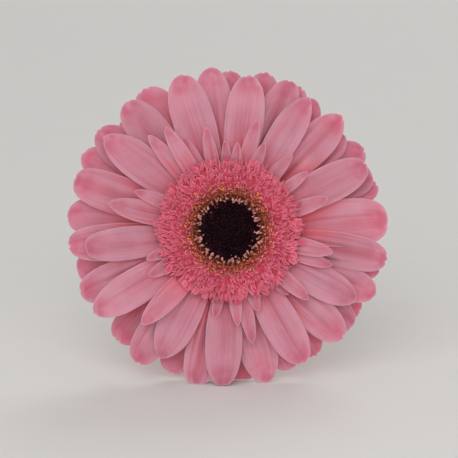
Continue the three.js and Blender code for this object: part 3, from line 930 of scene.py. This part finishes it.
broadLobes = {
    "Count": 170, "Radius": (15.6, 22.0), "Height": 14.5, "Slope": 0.1, "Curve": -0.055,
    "Lean": (-0.15, 0.75, 0.35), "Size": (0.7, 1.1, 0.12), "Loose Turn": 0.7, "Loose Place": 0.4,
    "Seed": 5,
}
narrowLobes = {
    "Count": 200, "Radius": (15.0, 22.2), "Height": 14.4, "Slope": 0.1, "Curve": -0.055,
    "Lean": (-0.3, 0.55, 0.65), "Size": (0.7, 1.05, 0.2), "Loose Turn": 2.2, "Loose Place": 0.5,
    "Seed": 7,
}
curledLobes = {
    "Count": 240, "Radius": (14.4, 21.8), "Height": 14.4, "Slope": 0.1, "Curve": -0.055,
    "Lean": (0.0, 1.2, 0.7), "Size": (0.85, 1.0, 0.15), "Loose Turn": 3.0, "Loose Place": 0.4,
    "Seed": 9,
}
collarLobes = {
    "Count": 230, "Radius": (12.6, 15.4), "Height": 12.9, "Slope": 0.7, "Lean": (-0.35, 0.25, 0.5),
    "Size": (0.75, 1.05, 0.2), "Loose Turn": 1.0, "Loose Place": 0.35, "Seed": 11,
}
antherRing = {
    "Count": 130, "Radius": (11.8, 15.0), "Height": 12.9, "Slope": 0.5, "Lean": (-0.1, 0.15, 0.45),
    "Size": (0.75, 1.05, 0.2), "Loose Place": 0.5, "Seed": 13,
}
stigmaRing = {
    "Count": 115, "Radius": (9.7, 12.6), "Height": 12.4, "Slope": 0.4, "Lean": (-1.0, -0.5, 0.5),
    "Size": (0.65, 0.85, 0.2), "Loose Place": 0.5, "Seed": 17,
}
pappusRing = {
    "Count": 1000, "Radius": (11.5, 14.2), "Height": 12.4, "Slope": 0.55, "Lean": (-0.4, 0.4, 0.35),
    "Size": (0.75, 1.05, 0.25), "Loose Place": 0.3, "Seed": 19,
}
budField = {
    "Count": 260, "Radius": (0.0, 10.2), "Height": 11.6, "Curve": 0.004, "Lean": (0.0, -0.3, 0.15),
    "Size": (0.8, 1.1, 0.1), "Loose Place": 0.1, "Seed": 23,
}


def scatter(name, kind, values, finish):
    # Sets a small shape on a spiral. Each copy gets its own tone, so the shape's own is taken off first.
    sizes = smallShapes[kind]
    makeShape = strapShape if "curl" in sizes else columnShape
    shape = makeShape(kind, finish, **sizes)
    shape.data.attributes.remove(shape.data.attributes["tone"])
    inputs = {**values, "Shape": shape, "Material": materials[finish]}
    piece = applyNodes(name, spiralScatter, inputs, matrix=bloomMatrix)
    bpy.data.objects.remove(shape)
    return piece


def makeDisc():
    keep(turnedPiece("discHeart", "discHeart", **discHeart), "bud")
    bed = turnedPiece("floretBed", "floretBed", **floretBed)
    lobes = [
        scatter("outerLobes", "outer", outerLobes, "outerFloret"),
        scatter("hoodedLobes", "hooded", hoodedLobes, "floret"),
        scatter("broadLobes", "broad", broadLobes, "floret"),
        scatter("narrowLobes", "narrow", narrowLobes, "floret"),
        scatter("curledLobes", "curled", curledLobes, "floret"),
        scatter("collarLobes", "collar", collarLobes, "collarFloret"),
    ]
    keep(joinPieces("discFlorets", [*lobes, bed]), "floret", "disc_florets")
    keep(scatter("anthers", "anther", antherRing, "anther"), "anther", "anthers")
    keep(scatter("stigmas", "stigma", stigmaRing, "stigma"), "stigma", "stigmas")
    keep(scatter("pappus", "bristle", pappusRing, "pappus"), "stigma")
    keep(scatter("discBuds", "bud", budField, "bud"), "bud", "disc_buds")


makeDisc()


def makeHairScatter():
    # Sets hairs all over a surface but its cut end, each standing on it and leaning a little.
    make, given, result = newGroup(
        "hairScatter", "GeometryNodeTree",
        {
            **scatterSockets, "Density": 100.0, "Loose Lean": 0.3, "Inner Size": 0.7, "Outer Size": 1.2,
            "Seed": 0,
        },
        {"Geometry": "Geometry"},
    )
    cut = make.add("GeometryNodeInputNamedAttribute", {"Name": "hollow"}, data_type="FLOAT")
    isSkin = make.add("FunctionNodeCompare", {0: cut, 1: 0.5}, operation="LESS_THAN")
    seed = given["Seed"]
    inputs = {"Mesh": given["Geometry"], "Selection": isSkin, "Density": given["Density"], "Seed": seed}
    roots = make.node("GeometryNodeDistributePointsOnFaces", inputs).outputs
    most = given["Loose Lean"]
    inputs = {0: make.times(most, -1.0), 1: most, 8: seed}
    lean = make.add("FunctionNodeRandomValue", inputs, data_type="FLOAT_VECTOR")
    inputs = {2: given["Inner Size"], 3: given["Outer Size"], 8: seed}
    size = make.node("FunctionNodeRandomValue", inputs, data_type="FLOAT").outputs[1]
    turn = make.turned(roots["Rotation"], lean)
    return finishScatter(make, given, result, roots["Points"], turn, size)


hairScatter = makeHairScatter()


def makeHairs(body, length, width, values):
    # Hairs all over a piece, kept off the table.
    hair = columnShape("hair", "hair", length, width, sides=3, outline=[(0, 1), (1, 0.2)])
    hair.data.transform(Matrix.Scale(mm, 4))
    inputs = {**values, "Shape": hair, "Material": materials["hair"]}
    hairs = applyNodes("hairs", hairScatter, inputs, body.data.copy())
    bpy.data.objects.remove(hair)
    for vertex in hairs.data.vertices:
        vertex.co.z = max(vertex.co.z, 0.02 * mm)
    return hairs


involucre = {
    "outline": [
        (0, -15.5), (3.3, -15.5), (4.2, -14.9), (5.6, -14.0), (8.4, -12.2), (10.2, -10.3), (11.5, -8.4),
        (12.6, -5.8), (13.1, -3.6), (13.4, -1.4), (13.2, 0.0), (12.6, 0.6), (12.2, 3.0), (11.9, 6.9),
        (0, 6.9),
    ],
    "sides": 60,
}
bracts = {
    "Count": 84, "Radius": (5.4, 12.0), "Height": -14.4, "Slope": 0.6, "Curve": 0.085,
    "Lean": (1.05, 0.75, 0.08), "Size": (0.85, 1.0, 0.06), "Loose Place": 0.2, "Seed": 29,
}
involucreHairs = {
    "length": 0.9, "width": 0.05,
    "values": {"Density": 500000.0, "Loose Lean": 0.7, "Size": (0.5, 1.1), "Seed": 37},
}


def makeInvolucre():
    cup = turnedPiece("cup", "bract", **involucre)
    leaves = scatter("bractLeaves", "bract", bracts, "bract")
    body = joinPieces("involucre", [cup, leaves])
    keep(joinPieces("involucre", [body, makeHairs(body, **involucreHairs)]), "bract", "involucre")


makeInvolucre()


# Each ring of the cut end: share of the radius, how far back it lies and its tone.
stem = {
    "end": (9.0, 174.0, 3.35), "start": 15.8, "bend": 0.36, "sway": -7, "lift": 12,
    "neckRadius": 3.3, "neckLength": 0.03, "radius": 3.0, "endRadius": 3.5,
    "cutAngle": 35.0, "slantFrom": 0.93,
    "cutRings": [
        (0.94, 0.0, -0.4), (0.84, 0.05, 0.3), (0.76, 0.0, -0.9), (0.68, 0.05, 0.3), (0.4, 0.1, 0.0),
        (0.32, 0.3, -0.6), (0.26, 4.0, -1.0),
    ],
    "ribs": 9, "ribHeight": 0.1, "ribTwist": 2.2, "steps": 150, "sides": 36,
}
stemHairs = {
    "length": 0.65, "width": 0.05,
    "values": {"Density": 1100000.0, "Loose Lean": 0.6, "Size": (0.5, 1.2), "Seed": 31},
}


def stemCurve():
    # The same path as the solid's: it leaves the bloom along its axis and settles on the table.
    tilt = math.radians(bloom["tilt"])
    backwards = Vector((0, math.cos(tilt), -math.sin(tilt)))
    start = Vector(bloom["centre"]) + backwards * stem["start"]
    end = Vector(stem["end"])
    reach = end.y - start.y
    early = start + backwards * stem["bend"] * reach
    late = end + Vector((stem["sway"], -stem["bend"] * reach, stem["lift"]))

    def at(t):
        s = 1 - t
        return start * s ** 3 + early * (3 * s * s * t) + late * (3 * s * t * t) + end * t ** 3

    return at


def stemRadiusAt(t):
    neck = (stem["neckRadius"] - stem["radius"]) * math.exp(-t / stem["neckLength"])
    return stem["radius"] + neck + (stem["endRadius"] - stem["radius"]) * t


def makeStem():
    at = stemCurve()
    maker = MeshMaker()
    slant = math.tan(math.radians(stem["cutAngle"]))
    nearby = 0.002
    rings = []

    def addRing(t, size, back, cut=0.0, tone=0.0):
        # A ring round the path at t. The cut slants, so near the end the rings slant too.
        centre = at(t)
        ahead = (at(min(1, t + nearby)) - at(t - nearby if t > nearby else 0)).normalized()
        sideways = ahead.cross(Vector((0, 0, 1))).normalized()
        up = sideways.cross(ahead)
        tilt = slant * smooth(stem["slantFrom"], 1, t)
        ribShare = stem["ribHeight"] / stem["radius"] if size > 0.9 else 0
        ring = []
        for j in range(stem["sides"]):
            angle = 2 * math.pi * j / stem["sides"]
            rib = 1 + ribShare * math.sin(stem["ribs"] * angle + stem["ribTwist"] * t)
            reach = stemRadiusAt(t) * size * rib
            offset = sideways * math.cos(angle) * reach + up * math.sin(angle) * reach
            point = centre + offset - ahead * (tilt * reach * math.sin(angle) + back)
            point.z = max(point.z, 0)
            ring.append(maker.addPoint(point, (j / stem["sides"], t), tone, cut))
        rings.append(ring)

    for i in range(stem["steps"] + 1):
        addRing(i / stem["steps"], 1, 0)
    for size, back, tone in stem["cutRings"]:
        addRing(1, size, back, 1.0, tone)
    maker.joinRings(rings, flipped=True)
    maker.addFace(*rings[0])
    maker.addFace(*reversed(rings[-1]))
    return maker.finish("stemBody", materials["stem"], Matrix.Scale(mm, 4))


stemBody = makeStem()
keep(joinPieces("stem", [stemBody, makeHairs(stemBody, **stemHairs)]), "stem", "stem")


# Lamps have their watts and their place.
stage = {
    "floorSize": 12.0, "floorColour": (0.9, 0.89, 0.87), "floorRoughness": 0.8,
    "grain": 60.0, "grainShade": 0.97,
    "worldColour": (1.0, 0.975, 0.96), "worldStrength": 0.38, "lampSize": 1.6,
    "lamps": {
        "key": (21.0, (-0.45, -2.2, 1.15)),
        "fill": (20.0, (0.3, -2.3, 0.5)),
        "back": (15.0, (0.8, 2.0, 1.8)),
    },
}
view = {
    "distance": 1.25, "frameWidth": 0.1562, "below": 0.00034,
}
bloomAxes = bloomMatrix.to_3x3()
bloomFace = bloomMatrix @ Vector((0, 0, bloom["faceHeight"]))


def makeFloor():
    maker = MeshMaker()
    half = stage["floorSize"] / 2
    corners = [(-half, -half), (half, -half), (half, half), (-half, half)]
    maker.addFace(*[maker.addPoint((x, y, 0)) for x, y in corners])
    material, make, shader = newMaterial("floor")
    grain = make.noise(make.objectPlace(), stage["grain"], 4.0)
    pale = stage["floorColour"]
    darker = [stage["grainShade"] * value for value in pale]
    make.feed(shader.inputs["Base Color"], make.mixColour(grain, opaque(darker), opaque(pale)))
    make.feed(shader.inputs["Roughness"], stage["floorRoughness"])
    maker.finish("floor", material, isSmooth=False)


def addLamp(name, watts, place):
    light = bpy.data.lights.new(name, "AREA")
    light.energy = watts
    light.size = stage["lampSize"]
    lamp = linked(name, light)
    lamp.location = place
    lamp.rotation_euler = (bloomFace - Vector(place)).to_track_quat("-Z", "Y").to_euler()


def makeStage():
    makeFloor()
    scene = bpy.context.scene
    world = bpy.data.worlds.new("studio")
    world.use_nodes = True
    sky = world.node_tree.nodes["Background"].inputs
    sky["Color"].default_value = opaque(stage["worldColour"])
    sky["Strength"].default_value = stage["worldStrength"]
    scene.world = world
    scene.view_settings.view_transform = "Standard"
    for name, (watts, place) in stage["lamps"].items():
        addLamp(name, watts, place)


def makeCamera():
    data = bpy.data.cameras.new("camera")
    camera = linked("camera", data)
    axis = (bloomAxes @ Vector((0, 0, 1))).normalized()
    upwards = (bloomAxes @ Vector((0, 1, 0))).normalized()
    camera.location = bloomFace + upwards * view["below"] + axis * view["distance"]
    camera.rotation_euler = (-axis).to_track_quat("-Z", "Y").to_euler()
    data.lens = data.sensor_width * view["distance"] / view["frameWidth"]
    data.clip_end = 50
    bpy.context.scene.camera = camera


makeStage()
makeCamera()
print("stage ready")
